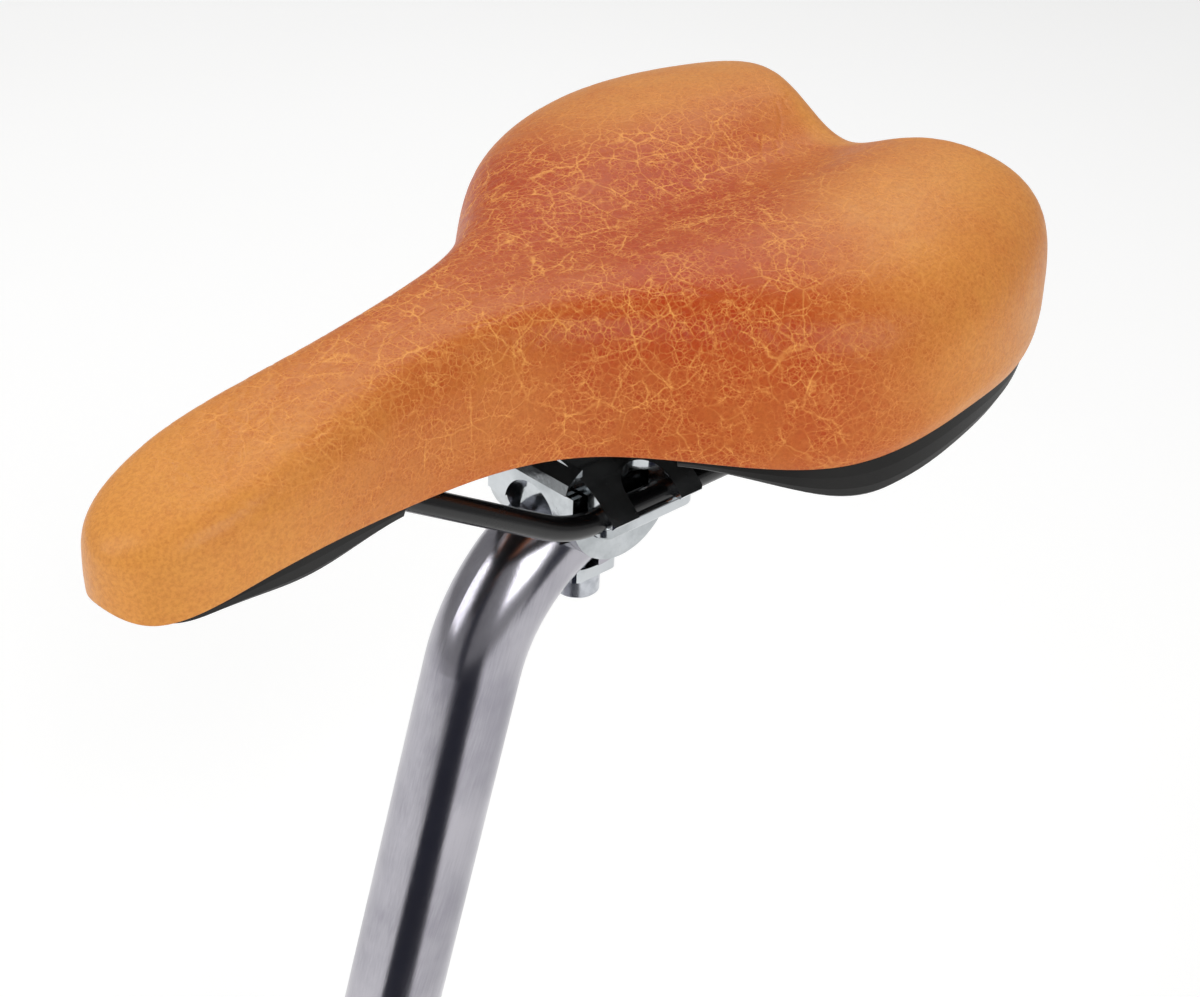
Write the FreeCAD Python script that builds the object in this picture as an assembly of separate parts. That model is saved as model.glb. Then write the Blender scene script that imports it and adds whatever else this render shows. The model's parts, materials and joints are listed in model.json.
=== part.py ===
import FreeCAD, Part
import math
import os
from FreeCAD import Vector

# A city bicycle saddle on its seat post, in millimetres, +X to the nose, +Y to the rider's left, +Z up.
# Every piece is modelled about the clamp centre, midway between the rails at the height of their axis.
# save() then moves it to the part's own frame, whose origin is the centre of the seat post's lower end.

# ---- seat post and clamp ----
post_diameter = 27.2
post_wall = 2.4
post_length = 300.0          # lower end to the clamp centre, along the post
post_tilt = 74.3             # degrees above the horizontal
setback = 24.5               # clamp centre behind the post's axis
bend_radius = 51.0
bend_turn = 55.0             # degrees
bend_start = 56.0            # start of the bend below the clamp centre, along the post
trough_radius = 19.05        # seat of the lower cradle, about the tilt axis
seat_radius = 26.5           # seat of the curved washer, about the tilt axis
tilt_limit = 10.0            # degrees either way
bolt_diameter = 8.0
running_gap = 0.05

bolt_radius = bolt_diameter / 2
bolt_length = 50.0           # under the head
bolt_head = 6.0
bolt_key = 6.0               # across the flats of the key's socket
nut_flats = 13.0
nut_z = 8.5                  # floor of the nut's pocket in the cap
washer_x = 8.5
washer_y = 8.0
washer_z = -30.0             # flat underside of the curved washer
spring_washer = 1.6
head_x = 14.0                # the post's head behind the bolt
insertion_mark = 80.0        # groove for the least insertion
cradle_x = 19.0
cradle_y = 17.0
flange_y = 26.5
claw_y = 29.5
claw_tip_z = -0.2
cap_z = 6.1                  # underside of the cap over the cradle
cap_front = 15.0
claw_bevel = 1.3
scoop_x = -2.5
scoop_y = 24.5
scoop_radius = 8.0

# ---- rails ----
rail_diameter = 7.0
rail_spacing = 44.0          # between the two rails' axes in the clamp

# ---- saddle ----
leather = 1.6                # thickness of the cover
layer_gap = 0.15
shell_thickness = 3.0
tuck = 8.4                   # from the widest line down to the cover's lower edge
hem = 9.0                    # cover turned in under the shell
nose_hem = 4.6               # the same under the narrow nose
crown_power = 3.8            # squareness of the crown across the saddle
channel_depth = 9.6
channel_spread = 20.0
channel_back = -86.0
channel_fade = 75.0

# Widest line of the cover's left half, from the nose to the notch at the back: x, y, z.
outline = [
    (156.5, 0.0, 29.5), (150.5, 13.8, 28.0), (124.0, 22.6, 34.5), (75.0, 20.0, 35.5), (25.0, 31.7, 35.5),
    (-23.0, 75.0, 33.5), (-62.0, 84.7, 42.0), (-100.0, 74.0, 44.5), (-115.5, 56.8, 54.0), (-104.5, 0.0, 62.0),
]
# Height of the crown along the middle, before the channel is pressed into it: x, z.
crown = [(164.0, 36.5), (111.0, 55.0), (52.0, 68.0), (-7.0, 74.3), (-66.0, 81.4), (-119.0, 83.3)]

rib_height = 4.5
ribs_across = [(-78.0, 18.0), (-36.0, 58.0), (4.0, 24.0)]                  # place along X, half length
ribs_along = [(0.0, -82.0, 58.0), (20.0, -60.0, 14.0), (-20.0, -60.0, 14.0)]   # place along Y, ends

# Centre line of the left rail, from its end at the back to the middle of the loop under the nose: x, y, z.
rail_route = [(-90.0, 39.0, 36.5), (-48.0, 22.0, 0.0), (24.5, 22.0, 0.0), (84.0, 9.8, 30.3), (122.0, 8.0, 30.3)]
rail_bends = [25.0, 37.0, 30.0, 6.4]         # radius at each inner point and at the loop's corner

bush_radius = 5.5
bush_length = 22.0
socket_radius = 8.7
socket_foot_z = 32.0
socket_screw_radius = 2.0
socket_screw_places = [(-72.0, 44.8), (-89.5, 23.0)]
nose_block_x = (84.0, 124.0)
nose_block_y = 12.4
nose_clip_z = 24.8
nose_screw_places = [(94.0, 0.0), (110.0, 0.0)]

# ---- skirts under the cover's edge ----
skirt_flange = (1.5, 3.1)    # top and underside of the flange, below the cover's edge
skirt_reach = 11.6
skirt_screw_inset = 8.8
staple_inset = 6.6
first_staple = 6             # station of the first staple: none where the nose skirt is set in round the tip
stations = 60                # sections along the half outline
rear_start = 27              # station where the rear skirt begins
nose_end = 16                # station where the nose skirt ends
skirt_screw_stations = [31, 38, 45, 55]
post_radius = post_diameter / 2
rail_radius = rail_diameter / 2
rail_y = rail_spacing / 2
slope = math.radians(post_tilt)
along = Vector(-math.cos(slope), 0, math.sin(slope))      # up the post
behind = Vector(-math.sin(slope), 0, -math.cos(slope))    # square to it, to the rear
clamp_centre = along * post_length + behind * setback


# ---------------------------------------------------------------- helpers
def save(shape, node):
    """Moves a finished piece into the part's frame and writes it."""
    placed = shape.copy()
    placed.translate(clamp_centre)
    placed.exportStep("parts/" + node + ".step")


def box(low, high):
    size = Vector(*high) - Vector(*low)
    return Part.makeBox(size.x, size.y, size.z, Vector(*low))


def cylinder(radius, start, end):
    axis = Vector(*end) - Vector(*start)
    return Part.makeCylinder(radius, axis.Length, Vector(*start), axis)


def tilt_cylinder(radius, half_width):
    """A cylinder about the tilt axis."""
    return cylinder(radius, (0, -half_width, 0), (0, half_width, 0))


def smooth(t):
    """Rises from 0 to 1, level at both ends."""
    held = min(max(t, 0.0), 1.0)
    return held * held * (3 - 2 * held)


def mirrored(shape):
    return shape.mirror(Vector(0, 0, 0), Vector(0, 1, 0))


def prism(points, start, width, axis):
    """A flat outline, closed and pushed width along axis from start."""
    wire = Part.makePolygon([start + p for p in points] + [start + points[0]])
    return Part.Face(wire).extrude(axis * width)


def rounded_path(points, radii):
    """Straight runs joined by tangent arcs: one radius for each inner point."""
    edges = []
    last = points[0]
    for i in range(1, len(points) - 1):
        back = (points[i - 1] - points[i]).normalize()
        on = (points[i + 1] - points[i]).normalize()
        half = back.getAngle(on) / 2
        reach = radii[i - 1] / math.tan(half)
        middle = (back + on).normalize() * (radii[i - 1] / math.sin(half) - radii[i - 1])
        edges.append(Part.LineSegment(last, points[i] + back * reach).toShape())
        edges.append(Part.Arc(points[i] + back * reach, points[i] + middle, points[i] + on * reach).toShape())
        last = points[i] + on * reach
    edges.append(Part.LineSegment(last, points[-1]).toShape())
    return Part.Wire(edges)


def swept(path, radius):
    """A round bar along a path."""
    start = path.Edges[0]
    ring = Part.Circle(start.valueAt(start.FirstParameter), start.tangentAt(start.FirstParameter), radius)
    return path.makePipeShell([Part.Wire(ring.toShape())], True, False)


# ---------------------------------------------------------------- the saddle's form
def closed_spline(points, power):
    """A smooth closed curve through points, its parameter growing with the plan distance to a power."""
    loop = points + [(x, -y, z) for x, y, z in reversed(points[1:-1])] + [points[0]]
    times = [0.0]
    for a, b in zip(loop, loop[1:]):
        times.append(times[-1] + math.hypot(b[0] - a[0], b[1] - a[1]) ** power)
    curve = Part.BSplineCurve()
    curve.interpolate(Points=[Vector(*p) for p in loop[:-1]], Parameters=times, PeriodicFlag=True)
    return curve, times[len(points) - 1]


def height_spline(points):
    """A smooth line of heights along X."""
    curve = Part.BSplineCurve()
    ordered = sorted(points)
    curve.interpolate(Points=[Vector(x, 0, z) for x, z in ordered], Parameters=[x for x, z in ordered])
    return curve


rim_curve, half_way = closed_spline(outline, 0.6)
crown_curve = height_spline(crown)
nose_x = outline[0][0]
notch_x = outline[-1][0]


def rim(u):
    """A point of the widest line, u from 0 at the nose to 1 at the notch."""
    return rim_curve.value(u * half_way)


def spine_x(x):
    """The place on the middle line that faces the widest line at x."""
    middle = (nose_x - 24 + notch_x + 32) / 2
    half = (nose_x - 24 - notch_x - 32) / 2
    return middle + half * math.tanh((x - middle) / half * 1.25) / math.tanh(1.25)


def top_height(x, y):
    """Height of the crown, with the long channel pressed into it."""
    held = min(max(x, crown[-1][0]), crown[0][0])
    fade = max((x - channel_back) / channel_fade, 0.0)
    return crown_curve.value(held).z - channel_depth * math.exp(-fade * fade - (y / channel_spread) ** 2)


def cover_point(u, share, under=0.0):
    """A point of the cover's outside.

    share runs from 0 on the middle line to 1 on the widest line; under is then the angle of the turn below it."""
    edge = rim(u)
    middle = spine_x(edge.x)
    if under > 0:
        inward = 1 - 0.024 * (1 - math.cos(under)) / (1 - math.cos(0.9))
        drop = tuck * math.sin(under) / math.sin(0.9)
        return Vector(middle + inward * (edge.x - middle), inward * edge.y, edge.z - drop)
    x = middle + share * (edge.x - middle)
    y = share * edge.y
    rise = max(1 - share ** crown_power, 0.0) ** (1 / crown_power)
    return Vector(x, y, edge.z + (top_height(x, y) - edge.z) * rise)


def cover_lines():
    """The (share, under) pairs of the lines that run round the cover, from the middle to its lower edge."""
    lines = [(s / 10, 0.0) for s in range(9)]
    for angle in range(66, 90, 4):
        lines.append((math.sin(math.radians(angle)) ** (2 / crown_power), 0.0))
    lines.append((1.0, 0.0))
    return lines + [(1.0, 0.9 * k / 5) for k in range(1, 6)]


def grid_normals(grid):
    """Outward unit normals of a grid of points, by differences along and across it."""
    last = len(grid) - 1
    normals = []
    for i, row in enumerate(grid):
        line = []
        for j, point in enumerate(row):
            if i == 0:
                along_rim = Vector(0, 1, 0)
            elif i == last:
                along_rim = Vector(0, -1, 0)
            else:
                along_rim = grid[i + 1][j] - grid[i - 1][j]
            across = row[min(j + 1, len(row) - 1)] - row[max(j - 1, 0)]
            normal = across.cross(along_rim)
            if j == 0:
                normal.y = 0
            line.append(normal.normalize())
        normals.append(line)
    return normals


def patch(grid):
    """A smooth surface through a grid of points."""
    surface = Part.BSplineSurface()
    surface.interpolate(grid)
    return surface


def outer_edge(surface):
    return surface.vIso(surface.bounds()[3]).toShape()


def line_through(points):
    curve = Part.BSplineCurve()
    curve.interpolate(points)
    return curve.toShape()


def solid_from(faces):
    """Sews the faces of a left half to their mirror images and closes them into one solid."""
    shell = Part.Compound(faces + [mirrored(f) for f in faces])
    shell.sewShape(0.02)
    body = Part.makeSolid(shell.Shells[0])
    if body.Volume < 0:
        body.reverse()
    return body


us = [i / (stations - 1) for i in range(stations)]
cover_grid = [[cover_point(u, share, under) for share, under in cover_lines()] for u in us]
for row in (cover_grid[0], cover_grid[-1]):
    for point in row:
        point.y = 0.0
cover_normals = grid_normals(cover_grid)


def sunk_grid(depth):
    """The cover's outside moved inwards by a depth."""
    grid = []
    for row, normals in zip(cover_grid, cover_normals):
        line = [p - n * depth for p, n in zip(row, normals)]
        line[0].y = 0.0
        grid.append(line)
    for row in (grid[0], grid[-1]):
        for point in row:
            point.y = 0.0
    return grid


def inward_at(i):
    """The level direction from the cover's lower edge towards the middle of the saddle, at station i."""
    normal = cover_normals[i][-1]
    flat = Vector(-normal.x, -normal.y, 0).normalize()
    if i in (0, stations - 1):
        flat = Vector(math.copysign(1, flat.x), 0, 0)
    return flat


def hem_width(i):
    """The hem narrows under the nose."""
    return nose_hem + (hem - nose_hem) * smooth((us[i] - 0.3) / 0.15)


def edge_line(inset, lift):
    """Points beside the cover's lower edge, inset towards the middle by a width or by a rule, and lifted."""
    points = []
    for i in range(stations):
        width = inset(i) if callable(inset) else inset
        point = cover_grid[i][-1] + inward_at(i) * width + Vector(0, 0, lift)
        if i in (0, stations - 1) or point.y < 0:
            point.y = 0.0
        points.append(point)
    return points


# ---------------------------------------------------------------- cover, foam and base
def make_cover():
    outside = patch(cover_grid)
    inside = patch(sunk_grid(leather))
    hem_low = line_through(edge_line(hem_width, 0))
    hem_high = line_through(edge_line(hem_width, leather))
    return solid_from([
        outside.toShape(), inside.toShape(),
        Part.makeRuledSurface(outer_edge(outside), hem_low),
        Part.makeRuledSurface(hem_low, hem_high),
        Part.makeRuledSurface(hem_high, outer_edge(inside)),
    ])


def base_grid():
    """Top of the moulded base: a dish upside down, its edge standing on the cover's hem."""
    edge = edge_line(leather + 0.3, leather + layer_gap + shell_thickness)
    grid = []
    for i, corner in enumerate(edge):
        middle = spine_x(rim(us[i]).x)
        line = []
        for step in range(13):
            share = step / 12
            x = middle + share * (corner.x - middle)
            y = share * corner.y
            held = min(max(x, crown[-1][0]), crown[0][0])
            high = 0.6 * crown_curve.value(held).z + 10.5
            line.append(Vector(x, y, corner.z + (high - corner.z) * (1 - share ** 2.4)))
        grid.append(line)
    return grid


def moved_grid(grid, distance):
    """A grid moved along its outward normals."""
    moved = []
    for row, normals in zip(grid, grid_normals(grid)):
        line = [p + n * distance for p, n in zip(row, normals)]
        line[0].y = 0.0
        moved.append(line)
    for row in (moved[0], moved[-1]):
        for point in row:
            point.y = 0.0
    return moved


def between(high, low):
    """The closed solid between two patches over the same stations."""
    return solid_from([high.toShape(), low.toShape(), Part.makeRuledSurface(outer_edge(high), outer_edge(low))])


def make_foam():
    """Fills the space between the cover and the base, down to the base's edge."""
    over = [row[:-4] for row in sunk_grid(leather + layer_gap)]
    return between(patch(over), patch(moved_grid(base_grid(), layer_gap)))


def make_base():
    """The moulded base, stiffened by ribs on its underside."""
    high = base_grid()
    body = between(patch(high), patch(moved_grid(high, -shell_thickness)))
    rib_zone = between(patch(moved_grid(high, -1.5)), patch(moved_grid(high, -shell_thickness - rib_height)))
    for x, half in ribs_across:
        body = body.fuse(rib_zone.common(box((x - 0.9, -half, 0), (x + 0.9, half, 90))))
    for y, back, front in ribs_along:
        body = body.fuse(rib_zone.common(box((back, y - 0.9, 0), (front, y + 0.9, 90))))
    return body


def under_base():
    """The space under the base, used to shape what is screwed up against it."""
    roof = patch(moved_grid(base_grid(), -shell_thickness - layer_gap))
    rim_points = [row[-1] for row in moved_grid(base_grid(), -shell_thickness - layer_gap)]
    floor_line = line_through([Vector(p.x, p.y, 0) for p in rim_points])
    middle = Part.makeLine(Vector(rim_points[0].x, 0, 0), Vector(rim_points[-1].x, 0, 0))
    floor = Part.Face(Part.Wire([floor_line, middle]))
    return solid_from([roof.toShape(), Part.makeRuledSurface(outer_edge(roof), floor_line), floor])


# ---------------------------------------------------------------- skirts, staples and screws round the edge
def rear_depth(u):
    """How far the rear skirt hangs below the cover's edge."""
    return 3.2 + 10.0 * smooth((u - 0.46) / 0.14) - 7.4 * smooth((u - 0.62) / 0.2)


def nose_depth(u):
    """The nose skirt is deepest at the sides and shallow round the tip of the nose."""
    return 1.9 + 1.3 * smooth((u - 0.05) / 0.06) + 4.6 * math.exp(-((u - 0.195) / 0.06) ** 2)


def rear_section(u):
    """Corners of the rear skirt's section as (inset, lift) from the cover's edge, with its flange under the hem."""
    depth = rear_depth(u)
    top, low = skirt_flange
    return [
        (0.9, -0.1), (0.9, -0.35 * depth), (1.5, -0.7 * depth), (2.6, -0.93 * depth), (3.6, -depth), (4.8, -depth),
        (4.8, -low), (skirt_reach, -low), (skirt_reach, -top), (5.2, -top), (5.2, -0.1),
    ]


def nose_section(u):
    """The nose skirt's section: a thin wall and a floor that runs in under the rails' loop."""
    depth = nose_depth(u)
    back = 2.6 * smooth((0.1 - u) / 0.05)
    reach = 4.0 + 9.0 * smooth((0.24 - u) / 0.03) + back
    floor = min(1.6 - depth, -0.9)
    return [
        (0.9 + back, -0.1), (0.9 + back, -0.35 * depth), (1.4 + back, -0.75 * depth), (2.4 + back, -0.95 * depth),
        (3.2 + back, -depth), (reach, -depth), (reach, floor), (3.8 + back, floor), (3.8 + back, -0.8),
        (2.2 + back, -0.8), (2.2 + back, -0.1),
    ]


def make_skirt(first, last, section, closed_at):
    """A moulded strip under the cover's edge between two stations, meeting its mirror image at closed_at."""
    lines = []
    for corner in range(len(section(0.5))):
        points = []
        for i in range(first, last + 1):
            inset, lift = section(us[i])[corner]
            point = cover_grid[i][-1] + inward_at(i) * inset + Vector(0, 0, lift)
            if i == closed_at:
                point.y = 0.0
            points.append(point)
        lines.append(points)
    edges = [line_through(points) for points in lines]
    faces = [Part.makeRuledSurface(a, b) for a, b in zip(edges, edges[1:] + edges[:1])]
    free_end = -1 if closed_at == first else 0
    corners = [points[free_end] for points in lines]
    faces.append(Part.Face(Part.makePolygon(corners + corners[:1])))
    return solid_from(faces)


def edge_frame(i):
    """Place, direction along the edge, direction inwards and direction down at station i of the cover's edge."""
    tangent = (cover_grid[i + 1][-1] - cover_grid[i - 1][-1]).normalize()
    inward = inward_at(i)
    down = tangent.cross(inward).normalize()
    if down.z > 0:
        down = down * -1
    return cover_grid[i][-1], tangent, inward, down


def make_staples():
    """Flat wire staples that hold the hem to the base, left out where a screw is."""
    staples = []
    for i in range(first_staple, stations - 2):
        if any(abs(i - k) < 2 for k in skirt_screw_stations):
            continue
        place, tangent, inward, down = edge_frame(i)
        inset = 2.6 + (staple_inset - 2.6) * smooth((us[i] - 0.3) / 0.15)
        middle = place + inward * inset + down * 0.05
        bar = prism([tangent * -2.0, tangent * 2.0, tangent * 2.0 + inward * 0.9, tangent * -2.0 + inward * 0.9],
                    middle, 0.55, down)
        for side in (-2.0, 1.5):
            start = middle + tangent * side - down * 3.0
            foot = [Vector(), tangent * 0.5, tangent * 0.5 + inward * 0.9, inward * 0.9]
            bar = bar.fuse(prism(foot, start, 3.2, down))
        staples += [bar, mirrored(bar)]
    return Part.Compound(staples)


def pan_screw(seat, point, length, radius):
    """A pan head screw: its head stands on seat, away from point, and its shank runs length towards it."""
    way = (point - seat).normalize()
    head = Part.makeCylinder(radius * 2, radius * 1.1, seat - way * radius * 1.1, way)
    rim_edges = [e for e in head.Edges if isinstance(e.Curve, Part.Circle) and e.Curve.Center.distanceToPoint(seat) > 1]
    head = head.makeFillet(radius * 0.6, rim_edges)
    drive = Part.makeCylinder(radius * 0.75, radius * 0.7, seat - way * radius * 1.2, way)
    return head.fuse(Part.makeCylinder(radius, length, seat, way)).cut(drive)


def skirt_screws():
    screws = []
    for i in skirt_screw_stations:
        place, tangent, inward, down = edge_frame(i)
        seat = place + inward * skirt_screw_inset + Vector(0, 0, -skirt_flange[1] - 0.6)
        screw = pan_screw(seat, seat + Vector(0, 0, 1), skirt_flange[1] + 4.9, 1.5)
        screws += [screw, mirrored(screw)]
    return screws


# ---------------------------------------------------------------- rails and what holds them
def rail_path():
    left = [Vector(*p) for p in rail_route]
    right = [Vector(p.x, -p.y, p.z) for p in reversed(left)]
    return rounded_path(left + right, rail_bends + rail_bends[::-1])


def rail_end():
    """The left rail's end and its direction towards the end."""
    end = Vector(*rail_route[0])
    return end, (end - Vector(*rail_route[1])).normalize()


def make_bushes():
    """Rubber sleeves round the rails' ends, with a collar at the socket's mouth."""
    end, way = rail_end()
    sleeve = Part.makeCylinder(bush_radius, bush_length, end - way * bush_length, way)
    collar = Part.makeCylinder(bush_radius + 1.8, 1.6, end - way * (bush_length + 1.6), way)
    bore = Part.makeCylinder(rail_radius + running_gap, bush_length + 4, end - way * (bush_length + 2), way)
    bush = sleeve.fuse(collar).cut(bore)
    return Part.Compound([bush, mirrored(bush)])


def roof_height(room, x, y):
    """Height of the base's underside over a place."""
    return room.common(Part.makeLine(Vector(x, y, 1), Vector(x, y, 100))).BoundBox.ZMax


def upright_screws(room, places, seat_z, radius):
    """Screws driven up from seat_z until their tips are well into the base."""
    screws = []
    for x, y in places:
        length = roof_height(room, x, y) + 2.0 - seat_z
        screws.append(pan_screw(Vector(x, y, seat_z), Vector(x, y, seat_z + 1), length, radius))
    return screws


def screw_holes(screws, radius):
    """Round holes for the shanks of upright screws."""
    holes = []
    for screw in screws:
        bounds = screw.BoundBox
        middle = bounds.Center
        holes.append(cylinder(radius, (middle.x, middle.y, bounds.ZMin), (middle.x, middle.y, bounds.ZMax + 1)))
    return Part.Compound(holes)


def make_socket(room, screws):
    """The left rear socket: a nylon barrel on a foot that fits the base's underside."""
    end, way = rail_end()
    barrel = Part.makeCylinder(socket_radius, bush_length + 3.0, end - way * (bush_length - 0.1), way)
    foot = box((end.x - 4, end.y - 19.7, socket_foot_z), (end.x + 23, end.y + 10, 90))
    foot = foot.makeFillet(4, [e for e in foot.Edges if abs(e.tangentAt(0).z) > 0.9]).common(room)
    bore = Part.makeCylinder(bush_radius + running_gap, bush_length + 0.4, end - way * (bush_length + 0.2), way)
    body = barrel.common(room).fuse(foot).cut(bore)
    return body.cut(screw_holes(screws, socket_screw_radius + 0.2))


def nose_block(low_z, high_z):
    """A block across both rails under the nose, with round corners."""
    block = box((nose_block_x[0], -nose_block_y, low_z), (nose_block_x[1], nose_block_y, high_z))
    return block.makeFillet(5, [e for e in block.Edges if abs(e.tangentAt(0).z) > 0.9])


# ---------------------------------------------------------------- clamp
def both_sides(shape):
    return shape.fuse(mirrored(shape))


def rail_grooves(x_low, x_high):
    groove = cylinder(rail_radius + running_gap, (x_low, rail_y, 0), (x_high, rail_y, 0))
    return Part.Compound([groove, mirrored(groove)])


def make_lower_cradle():
    """Sits in the post's trough on a half-round boss and carries a groove for each rail on its flanges."""
    middle = box((-cradle_x, -cradle_y, -5.0), (cradle_x, cradle_y, 5.5))
    flange = box((-cradle_x, -flange_y, -5.0), (16.0, flange_y, -0.6))
    flange = flange.makeFillet(4, [e for e in flange.Edges if abs(e.tangentAt(0).z) > 0.9])
    flange = flange.makeFillet(1.2, [e for e in flange.Edges if e.BoundBox.ZLength < 0.01])
    boss = tilt_cylinder(trough_radius - running_gap, cradle_y).common(box((-30, -30, -30), (30, 30, -4.9)))
    body = middle.fuse([flange, boss]).cut(rail_grooves(-30, 30))
    for x_low, x_high in ((cradle_x - 4, cradle_x + 1), (-cradle_x - 1, 4 - cradle_x)):
        body = body.cut(cylinder(10.0, (x_low, 0, -6.5), (x_high, 0, -6.5)))
    return body.cut(cylinder(bolt_radius + 0.4, (0, 0, -30), (0, 0, 30)))


def claw_bevels():
    """What is planed off the claws' outer corners, at the tips and at the ends of the cap."""
    low = claw_tip_z
    tip = [Vector(0, claw_y - 1.2, low), Vector(0, claw_y, low + 1.6), Vector(0, claw_y + 3, low + 1.6),
           Vector(0, claw_y + 3, low - 3), Vector(0, claw_y - 1.2, low - 3)]
    end, inner = cap_front - claw_bevel, claw_y - claw_bevel
    front = [Vector(end, claw_y, 0), Vector(cap_front, inner, 0), Vector(cap_front + 3, inner, 0),
             Vector(cap_front + 3, claw_y + 3, 0), Vector(end, claw_y + 3, 0)]
    rear = [Vector(cap_front - cradle_x - p.x, p.y, 0) for p in front]
    tip_cut = prism(tip, Vector(-30, 0, 0), 60, Vector(1, 0, 0))
    end_cuts = [prism(points, Vector(0, 0, -10), 40, Vector(0, 0, 1)) for points in (front, rear)]
    return both_sides(tip_cut.fuse(end_cuts))


def make_upper_clamp():
    """The cap over the rails: a domed plate with a claw outside the rail at each corner."""
    arch = cylinder(40.0, (-cradle_x, 0, -27), (cap_front, 0, -27))
    plate = box((-cradle_x, -claw_y, claw_tip_z), (cap_front, claw_y, 20)).common(arch)
    dome = Part.makeSphere(22.0, Vector(0, 0, -7.5)).common(box((-18, -18, cap_z), (cap_front, 18, 20)))
    beak_points = [Vector(14, 0, cap_z), Vector(20, 0, cap_z), Vector(19, 0, 9.0), Vector(14, 0, 12.2)]
    body = plate.fuse([dome, prism(beak_points, Vector(0, -15, 0), 30, Vector(0, 1, 0))])
    body = body.cut(box((-30, -rail_y + rail_radius, -10), (30, rail_y - rail_radius, cap_z)))
    gap = box((-30, rail_y - rail_radius - running_gap, -10), (30, rail_y + rail_radius + running_gap, 0))
    scoop = cylinder(scoop_radius, (scoop_x, scoop_y, -10), (scoop_x, scoop_y, 30))
    window = box((scoop_x - scoop_radius, scoop_y, -10), (scoop_x + scoop_radius, 40, 30))
    body = body.cut([rail_grooves(-30, 30), both_sides(gap), both_sides(scoop.fuse(window))])
    body = body.cut(claw_bevels())
    body = body.cut(hexagon(nut_flats + 0.2, nut_z, 30))
    return body.cut(cylinder(bolt_radius + 0.4, (0, 0, -10), (0, 0, 30)))


def hexagon(flats, low_z, high_z):
    """An upright six-sided bar on the bolt's axis."""
    corner = flats / math.sqrt(3)
    points = []
    for k in range(6):
        points.append(Vector(corner * math.cos(math.radians(60 * k)), corner * math.sin(math.radians(60 * k)), 0))
    return prism(points, Vector(0, 0, low_z), high_z - low_z, Vector(0, 0, 1))


def make_nut():
    body = hexagon(nut_flats, nut_z + 0.05, nut_z + 6.5)
    cone = Part.makeCone(14.0, 6.0, 8.0, Vector(0, 0, nut_z), Vector(0, 0, 1))
    return body.common(cone).cut(cylinder(bolt_radius + running_gap, (0, 0, 0), (0, 0, 30)))


def make_bolt():
    """The clamp bolt, its socket head below the post's head and its end above the nut."""
    seat_z = washer_z - spring_washer - 0.1
    low_z = seat_z - bolt_head
    head = cylinder(6.5, (0, 0, low_z), (0, 0, seat_z))
    head = head.makeChamfer(0.6, [e for e in head.Edges if e.BoundBox.ZMax < low_z + 0.1])
    shank = cylinder(bolt_radius, (0, 0, seat_z), (0, 0, seat_z + bolt_length))
    tip = [e for e in shank.Edges if e.BoundBox.ZMin > seat_z + bolt_length - 0.1]
    return head.fuse(shank.makeChamfer(1.0, tip)).cut(hexagon(bolt_key, low_z, low_z + 4.5))


def make_curved_washer():
    """Flat below, hollow above to fit the seat under the post's head."""
    body = box((-washer_x, -washer_y, washer_z), (washer_x, washer_y, -20))
    body = body.makeFillet(3, [e for e in body.Edges if abs(e.tangentAt(0).z) > 0.9])
    body = body.cut(tilt_cylinder(seat_radius + running_gap, 20))
    return body.cut(cylinder(bolt_radius + 0.4, (0, 0, -50), (0, 0, 0)))


def make_spring_washer():
    """A split ring under the bolt's head."""
    ring = cylinder(6.6, (0, 0, washer_z - spring_washer), (0, 0, washer_z - 0.02))
    ring = ring.cut(cylinder(bolt_radius + 0.3, (0, 0, -60), (0, 0, 0)))
    return ring.cut(box((2, -0.4, -60), (8, 0.4, 0)))


# ---------------------------------------------------------------- seat post
def make_post():
    """A tube that bends to the rear and ends in a solid head with a trough above and a washer seat below."""
    foot = clamp_centre * -1
    turn = math.radians(bend_turn)
    corner = foot + along * (post_length - bend_start + bend_radius * math.tan(turn / 2))
    onward = along * math.cos(turn) + behind * math.sin(turn)
    path = rounded_path([foot, corner, corner + onward * 60], [bend_radius])
    bar = swept(path, post_radius)
    boss = box((-head_x, -washer_y - 0.5, -seat_radius), (0, washer_y + 0.5, -12))
    body = bar.fuse(boss).cut(box((-90, -30, -60), (-head_x - 2, 30, 60)))
    body = body.cut(tilt_cylinder(trough_radius, 30))
    body = body.cut(tilt_cylinder(trough_radius + 2.6, 30).common(box((-30, -30, -11), (30, 30, 40))))
    recess = box((-40, -washer_y - 0.5, -60), (15.5, washer_y + 0.5, -14)).cut(tilt_cylinder(seat_radius, 30))
    reach = seat_radius * math.sin(math.radians(tilt_limit))
    slot = box((-reach, -bolt_radius - 0.4, -40), (reach, bolt_radius + 0.4, 0))
    for x in (-reach, reach):
        slot = slot.fuse(cylinder(bolt_radius + 0.4, (x, 0, -40), (x, 0, 0)))
    bore_start = foot - along * 1
    bore = Part.makeCylinder(post_radius - post_wall, post_length - bend_start - 8, bore_start, along)
    mark_place = foot + along * insertion_mark
    mark = Part.makeCylinder(post_radius + 1, 0.8, mark_place, along)
    mark = mark.cut(Part.makeCylinder(post_radius - 0.25, 0.8, mark_place, along))
    return body.cut([recess, slot, bore, mark])


# ---------------------------------------------------------------- build
os.makedirs("parts", exist_ok=True)
room = under_base()
screws = skirt_screws()
socket_screws = upright_screws(room, socket_screw_places, socket_foot_z - 0.05, socket_screw_radius)
nose_clip_screws = upright_screws(room, nose_screw_places, nose_clip_z - 0.05, socket_screw_radius)
rails = swept(rail_path(), rail_radius)
rail_room = swept(rail_path(), rail_radius + running_gap)
split = rail_route[-1][2]

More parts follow.
